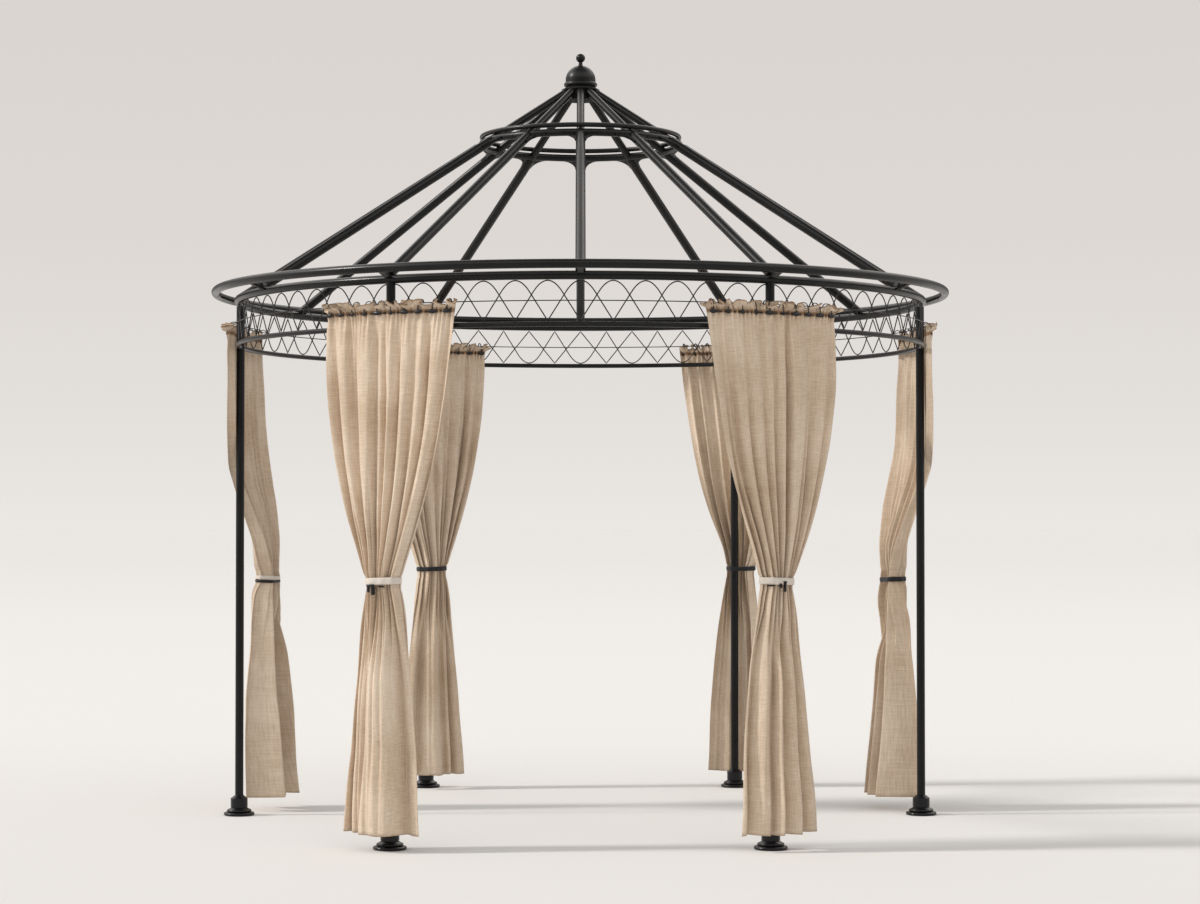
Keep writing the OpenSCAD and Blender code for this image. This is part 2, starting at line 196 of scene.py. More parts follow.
def weave_group():
    """Plain weave: threads over and under each other, with slubs where a thread thickens."""
    group, entry, leave = new_group(
        "weave",
        [("Across", FLOAT, 0.0), ("Along", FLOAT, 0.0),
         ("Threads", FLOAT, 700.0), ("Slub", FLOAT, 0.5)],
        [("Height", FLOAT), ("Shade", FLOAT)],
    )
    threads = entry.outputs["Threads"]
    across = maths(group, "MULTIPLY", entry.outputs["Across"], threads)
    along = maths(group, "MULTIPLY", entry.outputs["Along"], threads)
    warp = maths(group, "SINE", maths(group, "MULTIPLY", across, 2 * math.pi))
    weft = maths(group, "SINE", maths(group, "MULTIPLY", along, 2 * math.pi))
    woven = maths(group, "MULTIPLY", warp, weft)

    def slubs(stretch_across, stretch_along, seed):
        """Long streaks along one thread direction."""
        where = node(group, "ShaderNodeCombineXYZ")
        link(group, maths(group, "MULTIPLY", entry.outputs["Across"], stretch_across), where.inputs["X"])
        link(group, maths(group, "MULTIPLY", entry.outputs["Along"], stretch_along), where.inputs["Y"])
        where.inputs["Z"].default_value = seed
        streak = node(group, "ShaderNodeTexNoise")
        settle(streak, Scale=1.0, Detail=2)
        link(group, where.outputs[0], streak.inputs["Vector"])
        return maths(group, "SUBTRACT", streak.outputs["Fac"], 0.5)

    streaks = maths(group, "ADD", slubs(*WARP_SLUBS), slubs(*WEFT_SLUBS))
    streaks = maths(group, "MULTIPLY", streaks, entry.outputs["Slub"])
    height = maths(group, "ADD", maths(group, "MULTIPLY", woven, THREAD_RELIEF), streaks)
    shade = maths(group, "ADD", maths(group, "MULTIPLY", woven, THREAD_TONE), streaks)
    link(group, height, leave.inputs["Height"])
    link(group, shade, leave.inputs["Shade"])
    return group


MOTTLE = mottle_group()
WEAVE = weave_group()


def new_material(name):
    material = bpy.data.materials.new(name)
    material.use_nodes = True
    tree = material.node_tree
    shader = tree.nodes["Principled BSDF"]
    return material, tree, shader


def add_group(tree, group, **values):
    made = tree.nodes.new("ShaderNodeGroup")
    made.node_tree = group
    for label, value in values.items():
        put(tree, value, made.inputs[label.replace("_", " ")])
    return made


def ramp(tree, value, stops):
    """Colours or greys along a value."""
    made = tree.nodes.new("ShaderNodeValToRGB")
    link(tree, value, made.inputs["Fac"])
    elements = made.color_ramp.elements
    while len(elements) < len(stops):
        elements.new(0.5)
    for element, (position, colour) in zip(elements, stops):
        element.position = position
        element.color = (*colour, 1)
    return made.outputs["Color"]


def bump(tree, height, strength, distance):
    made = tree.nodes.new("ShaderNodeBump")
    settle(made, Strength=strength, Distance=distance)
    link(tree, height, made.inputs["Height"])
    return made.outputs["Normal"]


def painted_metal(name, dark, pale, rough_low, rough_high, grain, depth, coat):
    """Sprayed satin paint on steel: slow colour drift, orange-peel grain and a thin clear skin."""
    material, tree, shader = new_material(name)
    place = node(tree, "ShaderNodeTexCoord").outputs["Object"]
    parts = add_group(tree, MOTTLE, Position=place, Patch_Scale=PAINT_PATCHES, Grain_Scale=grain)
    colour = ramp(tree, parts.outputs["Patch"], [(PATCH_LOW, dark), (PATCH_HIGH, pale)])
    link(tree, colour, shader.inputs["Base Color"])
    rough = node(tree, "ShaderNodeMapRange")
    settle(rough, From_Min=PATCH_LOW, From_Max=PATCH_HIGH, To_Min=rough_low, To_Max=rough_high)
    link(tree, parts.outputs["Patch"], rough.inputs["Value"])
    link(tree, rough.outputs["Result"], shader.inputs["Roughness"])
    link(tree, bump(tree, parts.outputs["Grain"], PAINT_BUMP, depth), shader.inputs["Normal"])
    settle(shader, Metallic=0.0, Specular_IOR_Level=PAINT_SPECULAR, Coat_Weight=coat,
           Coat_Roughness=COAT_ROUGHNESS)
    return material


def linen_cloth(name, light, deep, threads, slub, seams_and_shade=None):
    """Plain-woven linen on the cloth's own thread coordinates. The last argument lists metres down the
    cloth and the tone there: stitched hem lines, and painted shade along the frill's top edge and in a band
    under the frill."""
    material, tree, shader = new_material(name)
    thread = node(tree, "ShaderNodeUVMap", uv_map="threads").outputs["UV"]
    split = node(tree, "ShaderNodeSeparateXYZ")
    link(tree, thread, split.inputs[0])
    cloth = add_group(tree, WEAVE, Across=split.outputs["X"], Along=split.outputs["Y"],
                      Threads=threads, Slub=slub)
    place = node(tree, "ShaderNodeTexCoord").outputs["Object"]
    parts = add_group(tree, MOTTLE, Position=place, Patch_Scale=LINEN_PATCHES, Grain_Scale=LINEN_GRAIN)
    shade = maths(tree, "MULTIPLY", cloth.outputs["Shade"], 0.9)
    tone = maths(tree, "ADD", shade, parts.outputs["Patch"])
    colour = ramp(tree, tone, [(LINEN_TONE[0], deep), (LINEN_TONE[1], light)])
    # Painted shade at the frill and the stitched hem lines, multiplied into the colour by how far down the
    # cloth
    if seams_and_shade:
        down = maths(tree, "DIVIDE", split.outputs["Y"], CLOTH_H)
        stitches_and_shade = ramp(tree, down, [(at / CLOTH_H, shade) for at, shade in seams_and_shade])
        both = node(tree, "ShaderNodeMix", data_type="RGBA", blend_type="MULTIPLY")
        settle(both, Factor=1.0)
        link(tree, colour, both.inputs["A"])
        link(tree, stitches_and_shade, both.inputs["B"])
        colour = both.outputs["Result"]
    link(tree, colour, shader.inputs["Base Color"])
    grain = maths(tree, "MULTIPLY", parts.outputs["Grain"], 0.3)
    height = maths(tree, "ADD", cloth.outputs["Height"], grain)
    link(tree, bump(tree, height, LINEN_BUMP, LINEN_BUMP_DEPTH), shader.inputs["Normal"])
    settle(shader, Roughness=LINEN_ROUGHNESS, Specular_IOR_Level=0.2, Sheen_Weight=LINEN_SHEEN,
           Sheen_Roughness=0.5)
    return material


FRAME_PAINT = painted_metal("satin_charcoal_paint", (0.004, 0.0042, 0.0045), (0.008, 0.0082, 0.009),
                            0.24, 0.36, 420.0, 0.0004, 0.05)
CAST_PAINT = painted_metal("glossy_black_casting", (0.004, 0.004, 0.005), (0.008, 0.008, 0.009),
                           0.14, 0.24, 160.0, 0.0008, 0.15)
MATT_PAINT = painted_metal("matt_black_casting", (0.004, 0.004, 0.004), (0.008, 0.008, 0.008),
                           0.70, 0.82, 160.0, 0.0008, 0.0)
WIRE_PAINT = painted_metal("wire_paint", (0.012, 0.012, 0.013), (0.022, 0.021, 0.022),
                           0.35, 0.5, 700.0, 0.0002, 0.1)
PLAIN = (1, 1, 1)
STITCH = (0.76, 0.69, 0.60)
# Painted shade: a brown for the frill's top edge and for the band under the frill
PAINTED_FRILL_SHADE = (0.42, 0.31, 0.22)
# Painted shade along the frill's top edge and in a brown band under the frill at the gather line, and the
# stitched hem lines
LINEN_SEAMS_AND_SHADE = [(0.0, PAINTED_FRILL_SHADE), (0.006, PLAIN), (0.030, PLAIN), (0.040, PAINTED_FRILL_SHADE), (0.049, PAINTED_FRILL_SHADE), (0.056, PLAIN),
               (1.990, PLAIN), (1.993, STITCH), (1.996, PLAIN), (2.024, PLAIN), (2.030, STITCH)]
LINEN = linen_cloth("natural_linen", (0.730, 0.610, 0.488), (0.500, 0.375, 0.260), 420.0, 0.85,
                    LINEN_SEAMS_AND_SHADE)
TIE_CLOTH = linen_cloth("pale_tie_cloth", (0.72, 0.665, 0.60), (0.58, 0.52, 0.45), 520.0, 0.4)
TIE_STRAP = linen_cloth("black_webbing", (0.030, 0.031, 0.034), (0.014, 0.014, 0.016), 520.0, 0.4)


# ---------------------------------------- steel frame

for name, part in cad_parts.items():
    if name.startswith("foot_"):
        paint = CAST_PAINT
    elif name == "hub":
        paint = MATT_PAINT
    else:
        paint = FRAME_PAINT
    part.data.materials.clear()
    part.data.materials.append(paint)


# ---------------------------------------- lattice wires

def geometry_tree(name, inputs):
    """An empty Geometry Nodes tree with these inputs, (name, kind, default), and a material: the
    tree, its input sockets, and the socket its result goes to."""
    tree = bpy.data.node_groups.new(name, "GeometryNodeTree")
    tree.interface.new_socket(name="Geometry", in_out="INPUT", socket_type="NodeSocketGeometry")
    for label, kind, default in inputs:
        socket = tree.interface.new_socket(name=label, in_out="INPUT", socket_type=kind)
        socket.default_value = default
    tree.interface.new_socket(name="Material", in_out="INPUT", socket_type="NodeSocketMaterial")
    tree.interface.new_socket(name="Geometry", in_out="OUTPUT", socket_type="NodeSocketGeometry")
    entry = tree.nodes.new("NodeGroupInput").outputs
    leave = tree.nodes.new("NodeGroupOutput").inputs["Geometry"]
    return tree, entry, leave


def step(tree, kind, source, slot="Geometry", result="Geometry", **values):
    """A node that takes source in at slot: its output named result."""
    made = node(tree, kind, **values)
    link(tree, source, made.inputs[slot])
    return made.outputs[result]


def swept(tree, line, radius, sides):
    """A round wire with closed ends along a curve."""
    circle = node(tree, "GeometryNodeCurvePrimitiveCircle")
    settle(circle, Resolution=sides)
    link(tree, radius, circle.inputs["Radius"])
    wire = node(tree, "GeometryNodeCurveToMesh")
    settle(wire, Fill_Caps=True)
    link(tree, line, wire.inputs["Curve"])
    link(tree, circle.outputs["Curve"], wire.inputs["Profile Curve"])
    return wire.outputs["Mesh"]


def painted(tree, geometry, entry, leave):
    """Give the geometry the tree's material, and hand it out."""
    paint = node(tree, "GeometryNodeSetMaterial")
    link(tree, geometry, paint.inputs["Geometry"])
    link(tree, entry["Material"], paint.inputs["Material"])
    link(tree, paint.outputs["Geometry"], leave)


# The part of a rise that stays straight before its top or foot rounds over
STRAIGHT_SHARE = 0.55
WIRE_SIDES = 8


def waved_wire_tree():
    """A wire that waves up and down round the ring. Its tops or its feet may be rounded over."""
    tree, entry, leave = geometry_tree("waved wire", (
        ("Ring Radius", FLOAT, 1.447), ("Middle Height", FLOAT, 2.07),
        ("Rise", FLOAT, 0.07), ("Wire Radius", FLOAT, 0.0025),
        ("Start Angle", FLOAT, 0.0), ("End Angle", FLOAT, 1.0),
        ("Waves", FLOAT, 6.0), ("Shift", FLOAT, 0.0),
        ("Round Tops", FLOAT, 1.0), ("Round Feet", FLOAT, 0.0),
        ("Steps", "NodeSocketInt", 180),
    ))

    line = node(tree, "GeometryNodeCurvePrimitiveLine")
    settle(line, End=(1, 0, 0))
    fine = node(tree, "GeometryNodeResampleCurve")
    link(tree, line.outputs["Curve"], fine.inputs["Curve"])
    link(tree, entry["Steps"], fine.inputs["Count"])

    # How far up a rise the wire is, from 0 at a foot to 1 at a top
    along = node(tree, "GeometryNodeSplineParameter").outputs["Factor"]
    waves = maths(tree, "MULTIPLY", along, entry["Waves"])
    phase = maths(tree, "FRACT", maths(tree, "ADD", waves, entry["Shift"]))
    swing = maths(tree, "SUBTRACT", maths(tree, "MULTIPLY", phase, 2.0), 1.0)
    up = maths(tree, "SUBTRACT", 1.0, maths(tree, "ABSOLUTE", swing))

    def round_over(q):
        """Straight, then a parabola that is level at 1."""
        slant = maths(tree, "SUBTRACT", maths(tree, "MULTIPLY", q, 4 / (1 + STRAIGHT_SHARE)), 1.0)
        rest = maths(tree, "SUBTRACT", 1.0, q)
        arc = maths(tree, "MULTIPLY", maths(tree, "MULTIPLY", rest, rest), 2 / (1 - STRAIGHT_SHARE ** 2))
        arc = maths(tree, "SUBTRACT", 1.0, arc)
        late = maths(tree, "GREATER_THAN", q, STRAIGHT_SHARE)
        early = maths(tree, "SUBTRACT", 1.0, late)
        return maths(tree, "ADD", maths(tree, "MULTIPLY", arc, late), maths(tree, "MULTIPLY", slant, early))

    zigzag = maths(tree, "SUBTRACT", maths(tree, "MULTIPLY", up, 2.0), 1.0)
    topped = round_over(up)
    footed = maths(tree, "MULTIPLY", round_over(maths(tree, "SUBTRACT", 1.0, up)), -1.0)
    pointed = maths(tree, "SUBTRACT", 1.0, entry["Round Tops"])
    pointed = maths(tree, "SUBTRACT", pointed, entry["Round Feet"])
    rounded = maths(tree, "ADD", maths(tree, "MULTIPLY", topped, entry["Round Tops"]),
                    maths(tree, "MULTIPLY", footed, entry["Round Feet"]))
    height = maths(tree, "ADD", rounded, maths(tree, "MULTIPLY", zigzag, pointed))
    z = maths(tree, "ADD", entry["Middle Height"], maths(tree, "MULTIPLY", height, entry["Rise"]))
    sweep = maths(tree, "SUBTRACT", entry["End Angle"], entry["Start Angle"])
    angle = maths(tree, "ADD", entry["Start Angle"], maths(tree, "MULTIPLY", along, sweep))
    where = node(tree, "ShaderNodeCombineXYZ")
    for axis, direction in (("X", "COSINE"), ("Y", "SINE")):
        out = maths(tree, "MULTIPLY", maths(tree, direction, angle), entry["Ring Radius"])
        link(tree, out, where.inputs[axis])
    link(tree, z, where.inputs["Z"])

    bent = node(tree, "GeometryNodeSetPosition")
    link(tree, fine.outputs["Curve"], bent.inputs["Geometry"])
    link(tree, where.outputs[0], bent.inputs["Position"])
    wire = swept(tree, bent.outputs["Geometry"], entry["Wire Radius"], WIRE_SIDES)
    smooth = step(tree, "GeometryNodeSetShadeSmooth", wire)
    real = step(tree, "GeometryNodeRealizeInstances", smooth)
    painted(tree, real, entry, leave)
    return tree


def grown(name, tree, source=None, **values):
    """The plain mesh that a Geometry Nodes tree makes from these inputs, on source's mesh if given."""
    holder = source or mesh_piece(name + "_source", [], [])
    modifier = holder.modifiers.new("grow", "NODES")
    modifier.node_group = tree
    sockets = {item.name: item.identifier for item in tree.interface.items_tree if item.in_out == "INPUT"}
    for label, value in values.items():
        modifier[sockets[label.replace("_", " ")]] = value
    bpy.context.view_layer.update()
    evaluated = holder.evaluated_get(bpy.context.evaluated_depsgraph_get())
    mesh = bpy.data.meshes.new_from_object(evaluated)
    holder.modifiers.remove(modifier)
    bpy.data.objects.remove(holder)
    return placed(name, mesh)


def joined(name, objects):
    """One object from several, at the origin."""
    bpy.ops.object.select_all(action="DESELECT")
    for made in objects:
        made.select_set(True)
    first = objects[0]
    bpy.context.view_layer.objects.active = first
    bpy.ops.object.join()
    first.name = name
    first.data.name = name
    return first


WAVED_WIRE = waved_wire_tree()
WAVES = 6.0
WAVE_STEPS = 217
WIRE_GAP = 0.0003
# Each bay, the angle it starts at in degrees, and whether it is one of the three at the front
BAYS = [("front", -120, True), ("front_right", -60, True), ("back_right", 0, False),
        ("back", 60, False), ("back_left", 120, False), ("front_left", 180, True)]
# The angle from a post's middle to where the wires of a bay end
WIRE_END = math.asin((POST_R + WIRE_GAP) / TOP_R)
for bay, start, at_front in BAYS:
    wires = []
    for shift in (0.0, 0.5):
        round_feet = 0.0 if at_front or shift else 1.0
        wires.append(grown(
            f"wire_{bay}_{shift}", WAVED_WIRE, Ring_Radius=TOP_R, Middle_Height=WAVE_MID,
            Rise=WAVE_RISE, Wire_Radius=WIRE_R, Start_Angle=math.radians(start) + WIRE_END,
            End_Angle=math.radians(start + 60) - WIRE_END, Waves=WAVES, Shift=shift,
            Round_Tops=1.0 if at_front else 0.0, Round_Feet=round_feet, Steps=WAVE_STEPS,
            Material=WIRE_PAINT,
        ))
    lattice = joined(f"lattice_wires_{bay}", wires)
    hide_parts(f"lattice_{bay}")
    finish_piece(lattice, WIRE_PAINT)


# ---------------------------------------- curtains

TURN = 2 * np.pi
COLUMNS = 256
ROWS = 128
# Heights of the top of the frill, the gather line, the tie-back and the hem
TOP = 2.085
GATHER = 2.038
TIE = 1.012
HEM = 0.063
CLOTH_THICK = 0.0012
# Widths and thicknesses of the tie-backs, and how far the left strap hangs under its cloth tie
TIE_BAND = 0.027
STRAP_BAND = 0.020
SIDE_BAND = 0.016
THIN_STRAP = 0.012
THIN_STRAP_THICK = 0.0016
THIN_STRAP_DROP = 0.015
BAND_THICK = 0.0022
# How far each tie sits over or under the narrowest part of its curtain
TIE_LIFT = {"front_left": 0.008, "front_right": 0.008, "back_left": 0.012, "back_right": 0.012,
            "left": -0.010, "right": -0.018}


def smoothstep(a, b, x):
    t = np.clip((x - a) / (b - a), 0, 1)
    return t * t * (3 - 2 * t)


def by_height(z, table):
    """A smooth value at each height, through (height, value) pairs given from the top down."""
    heights = np.array([row[0] for row in table])[::-1]
    values = np.array([row[1] for row in table])[::-1]
    steps = np.diff(heights)
    rises = np.diff(values) / steps
    slopes = np.concatenate([[rises[0]], np.zeros(len(rises) - 1), [rises[-1]]])
    for k in range(1, len(rises)):
        if rises[k - 1] * rises[k] > 0:
            slopes[k] = 2 * rises[k - 1] * rises[k] / (rises[k - 1] + rises[k])
    at = np.clip(np.searchsorted(heights, z) - 1, 0, len(steps) - 1)
    h = steps[at]
    t = np.clip((z - heights[at]) / h, 0, 1)
    return ((1 + 2 * t) * (1 - t) ** 2 * values[at] + t * (1 - t) ** 2 * h * slopes[at]
            + t * t * (3 - 2 * t) * values[at + 1] - t * t * (1 - t) * h * slopes[at + 1])


def slow_drift(rng, z, knots=5):
    """A smooth random value from -1 to 1 that changes slowly down the cloth."""
    heights = np.linspace(TOP, HEM, knots)
    return by_height(z, list(zip(heights, rng.uniform(-1, 1, knots))))


def row_heights():
    """Heights of the cloth's rows, closer together at the heading and at the tie-back."""
    z = np.linspace(TOP, HEM, 2000)
    at_heading = np.exp(-((z - 2.05) / 0.05) ** 2)
    at_tie = np.exp(-((z - TIE) / 0.07) ** 2)
    weight = 1 + 3.0 * at_heading + 1.6 * at_tie
    share = np.cumsum(weight) - weight[0]
    share /= share[-1]
    rows = np.interp(np.linspace(0, 1, ROWS + 1), share, z)
    rows[0], rows[-1] = TOP, HEM
    return rows


def soft_blur(values, passes):
    """Neighbours averaged along the columns."""
    for _ in range(passes):
        inner = 0.25 * values[:, :-2] + 0.5 * values[:, 1:-1] + 0.25 * values[:, 2:]
        values = np.concatenate([values[:, :1], inner, values[:, -1:]], axis=1)
    return values


# Width along the ring, and depth, by height
WIDTHS = [(TOP, 0.612), (GATHER, 0.572), (1.95, 0.560), (1.80, 0.532), (1.62, 0.482),
          (1.50, 0.437), (1.40, 0.388), (1.30, 0.328), (1.20, 0.258), (1.10, 0.184),
          (1.05, 0.150), (1.029, 0.132), (0.995, 0.132), (0.965, 0.145), (0.88, 0.174),
          (0.70, 0.224), (0.50, 0.266), (0.30, 0.298), (HEM, 0.326)]
POST_DEPTHS = [(TOP, 0.030), (GATHER, 0.014), (1.95, 0.030), (1.71, 0.044), (1.43, 0.060),
               (1.20, 0.074), (1.05, 0.078), (1.029, 0.070), (0.995, 0.070), (0.95, 0.068),
               (0.70, 0.068), (0.40, 0.074), (HEM, 0.080)]
SIDE_DEPTHS = [(TOP, 0.030), (GATHER, 0.014), (1.95, 0.024), (1.71, 0.032), (1.43, 0.042),
               (1.20, 0.062), (1.05, 0.076), (1.029, 0.070), (0.995, 0.070), (0.95, 0.088),
               (0.83, 0.120), (0.70, 0.150), (0.40, 0.200), (HEM, 0.245)]
# How far the folds hang outside the circle of posts, by height: a curtain against its post keeps
# outside it, and a side curtain starts outside and ends inside, its far edge ahead of its near one
SEAM = 0.002
POST_CLEAR = [(TOP, POST_R + SEAM), (0.40, POST_R + SEAM), (0.12, 0.038), (HEM, 0.038)]
SIDE_NEAR = [(TOP, POST_R + SEAM), (1.50, POST_R + SEAM), (1.40, 0.000), (1.28, -0.040),
             (1.147, -0.082), (TIE, -0.104), (0.832, -0.112), (0.532, -0.135), (HEM, -0.175)]
SIDE_FAR = [(TOP, POST_R + SEAM), (1.90, 0.010), (1.60, -0.012), (1.414, -0.040), (1.28, -0.070),
            (1.147, -0.096), (TIE, -0.104), (0.832, -0.120), (0.532, -0.150), (HEM, -0.200)]
# How far along the ring from its post the middle of a curtain hangs, by height
POST_SHIFT = [(TOP, 0.0), (HEM, 0.0)]
SIDE_SHIFT = [(TOP, 0.160), (1.87, 0.173), (1.602, 0.199), (1.414, 0.239), (1.28, 0.262),
              (1.147, 0.265), (HEM, 0.265)]
PLEATS = 9
FINE_PLEATS = 12
# Heights that the finer pleats come and go round
FINE_HEIGHTS = [1.95, 1.75, 1.40, 1.12, 0.93]
# How deep each kind of fold is: a share of the depth, or metres
PLEAT_SHARE = 0.95
SWAY_SHARE = 0.12
HEADING_GATHERS = 0.0060
TIE_CREASES = 0.0030
FRILL_LOOPS = 0.0160
FRILL_GATHERS = 0.004
FRILL_OUT = 0.006
FRILL_FLUTTER = 0.008
FRILL_SIDEWAYS = 0.012
FRILL_DIP = 0.010
WRINKLES = 0.0016
HEM_WAVE = 0.002
LEAN = 0.020
# How full the oval body is below the heading, at the tie-back, and under it
BODY_FALL = 0.030
BODY_TIE = 0.020
BODY_BELOW = 0.050


def curtain_cloth(name, seed, angle, near, far, depths, shifts, way, outward, panels):
    """A gathered cloth on the ring, its pleats giving way to broad folds under the tie. panels lists
    each broad fold: where it is across, from 0 to 1, and its width. near and far are the clearances
    of its two edges. way is 1 to shift it anticlockwise or -1 for clockwise, and outward is 1 outside
    the post or -1 inside."""
    rng = np.random.default_rng(seed)
    z = row_heights()
    s = np.linspace(0, 1, COLUMNS + 1)
    S, Z = np.meshgrid(s, z)
    width = by_height(z, WIDTHS)[:, None]
    depth = by_height(z, depths)[:, None]
    at_tie = np.exp(-((Z - TIE) / 0.11) ** 2)
    below = smoothstep(0.99, 0.62, Z)
    frill = smoothstep(GATHER + 0.004, TOP, Z)
    full = 1 - frill

    # Valleys between the pleats, each with its own place, depth and lean
    fold = np.zeros_like(S)
    tuck = np.zeros_like(S)
    for k in range(PLEATS):
        where = (k + 0.5 + rng.uniform(-0.30, 0.30)) / PLEATS + 0.016 * slow_drift(rng, z)
        wide = rng.uniform(0.020, 0.034)
        deep = rng.uniform(0.62, 1.0) * (1 + 0.30 * slow_drift(rng, z, 4))
        lean = rng.choice([-1, 1]) * rng.uniform(0.15, 0.5)
        keep = 1 - 0.88 * below
        line = np.exp(-np.abs((S - where[:, None]) / wide) ** 1.5) * deep[:, None] * keep
        fold -= line
        tuck += lean * line
    # Finer pleats that come and go between them
    for k in range(FINE_PLEATS):
        where = rng.uniform(0.04, 0.96) + 0.020 * slow_drift(rng, z)
        wide = rng.uniform(0.008, 0.016)
        middle = rng.choice(FINE_HEIGHTS)
        reach = rng.uniform(0.14, 0.30) * (0.55 if middle < 1 else 1)
        here = np.exp(-((z - middle) / reach) ** 2)
        line = np.exp(-np.abs((S - where[:, None]) / wide) ** 1.6) * here[:, None]
        fold -= rng.uniform(0.18, 0.38) * line
    # Broad folds that fan out from the tie-back to the hem
    for middle, wide in panels:
        where = middle + 0.03 * slow_drift(rng, z)
        line = np.exp(-np.abs((S - where[:, None]) / wide) ** 1.7) * rng.uniform(0.65, 1.0) * below
        fold -= line
        tuck += rng.choice([-1, 1]) * 0.9 * line
    fold = soft_blur(fold, 3)

    # The gathers under the heading and at the tie-back
    gather_phase = 26 * S + 0.5 * np.sin(TURN * 3 * S + rng.uniform(0, 6))
    gathers = np.cos(TURN * gather_phase)
    near_heading = np.exp(-((Z - GATHER) / 0.028) ** 2)
    near_heading = near_heading + 0.35 * np.exp(-((Z - GATHER + 0.06) / 0.07) ** 2)
    creases = np.cos(TURN * (19 * S + 0.4 * np.sin(TURN * 2 * S + rng.uniform(0, 6))))
    out = depth * (PLEAT_SHARE * fold * full)
    out += HEADING_GATHERS * gathers * near_heading * full
    out += TIE_CREASES * creases * at_tie

    # The frill stands up in soft, uneven loops
    loops = 12 * S + 0.45 * np.sin(TURN * 2.3 * S + rng.uniform(0, 6))
    flop = np.sin(TURN * loops) + 0.45 * np.sin(TURN * 2.07 * loops + 1.1)
    out += frill * (FRILL_LOOPS * flop + FRILL_GATHERS * gathers) + FRILL_OUT * frill
    out += frill * FRILL_FLUTTER * np.sin(TURN * 2.9 * loops + 60 * (Z - GATHER))

    # The cloth closes round towards its edges into an oval body
    side = 2 * S - 1
    rounded = np.sqrt(np.clip(1 - 0.93 * side ** 2, 0, 1))
    body = BODY_FALL * smoothstep(1.75, 1.20, Z) + BODY_TIE * at_tie + BODY_BELOW * below
    out += body * rounded
    out += SWAY_SHARE * depth * np.sin(TURN * 1.4 * S + rng.uniform(0, 6)) * below

    # Sideways: leaning folds, loops of the frill, and the edges drawn in
    across = width * (side / 2)
    across += LEAN * tuck * smoothstep(1.98, 1.5, Z) * (1 - 0.8 * at_tie)
    across += frill * FRILL_SIDEWAYS * np.cos(TURN * 1.5 * loops)
    out += WRINKLES * wrinkles(S, Z, seed) * full
    lowest = soft_min(out)
    ahead = S if way > 0 else 1 - S
    clear = by_height(z, near)[:, None] * (1 - ahead) + by_height(z, far)[:, None] * ahead
    radius = TOP_R + outward * (clear + out - lowest[:, None])
    around = angle + (way * by_height(z, shifts)[:, None] + across) / TOP_R
    height = Z + frill * FRILL_DIP * (np.sin(TURN * 1.3 * loops + 0.7) - 1)
    hem_wave = 1 + np.sin(TURN * 2.6 * S + rng.uniform(0, 6))
    height = height + HEM_WAVE * smoothstep(0.25, HEM, Z) * hem_wave

    points = np.stack([radius * np.cos(around), radius * np.sin(around), height], -1)
    count = COLUMNS + 1
    starts = [row * count + column for row in range(ROWS) for column in range(COLUMNS)]
    faces = [(a, a + count, a + count + 1, a + 1) for a in starts]
    if outward < 0:
        faces = [(a, a + 1, a + count + 1, a + count) for a in starts]
    cloth = mesh_piece(name, points.reshape(-1, 3), faces)
    lay_threads(cloth, (S * CLOTH_W).reshape(-1), ((TOP - Z) / (TOP - HEM) * CLOTH_H).reshape(-1))
    return cloth, points, z


CREASES_ACROSS = 26
CREASES_DOWN = 5.5


def wrinkles(S, Z, seed):
    """Small long creases down the cloth, from about -1 to 1."""
    rows, columns = S.shape
    values = [noise.noise((S[r, c] * CREASES_ACROSS, Z[r, c] * CREASES_DOWN, seed))
              for r in range(rows) for c in range(columns)]
    return np.array(values).reshape(rows, columns) * 1.6


def soft_min(out):
    """Each row's lowest value, smooth from row to row and never over the true one."""
    low = out.min(axis=1)
    for _ in range(6):
        padded = np.pad(low, 1, mode="edge")
        low = np.minimum(low, (padded[:-2] + 2 * padded[1:-1] + padded[2:]) / 4)
    return low


def lay_threads(cloth, across, along):
    """A UV map in metres of cloth, for the weave, the stitched hems and the painted shade at the frill."""
    layer = cloth.data.uv_layers.new(name="threads")
    index = np.empty(len(cloth.data.loops), dtype=np.int64)
    cloth.data.loops.foreach_get("vertex_index", index)
    layer.data.foreach_set("uv", np.stack([across[index], along[index]], -1).reshape(-1))


# ---------------------------------------- tie-backs

def outline_round(points):
    """The convex outline of flat points, anticlockwise."""
    points = sorted({(round(x, 5), round(y, 5)) for x, y in points})

    def half(ordered):
        chain = []
        for p in ordered:
            while len(chain) > 1:
                (ax, ay), (bx, by) = chain[-2], chain[-1]
                if (bx - ax) * (p[1] - ay) - (by - ay) * (p[0] - ax) > 0:
                    break
                chain.pop()
            chain.append(p)
        return chain[:-1]

    return np.array(half(points) + half(points[::-1]))


POST_SLACK = 0.0008
BAND_STEPS = 96
BAND_LEVELS = 7
# How far a band stands off the cloth, swells in its middle, crumples and sags
BAND_GAP = 0.0010
BAND_SWELL = 0.0008
BAND_CRUMPLE = 0.0012
BAND_SAG = 0.0022


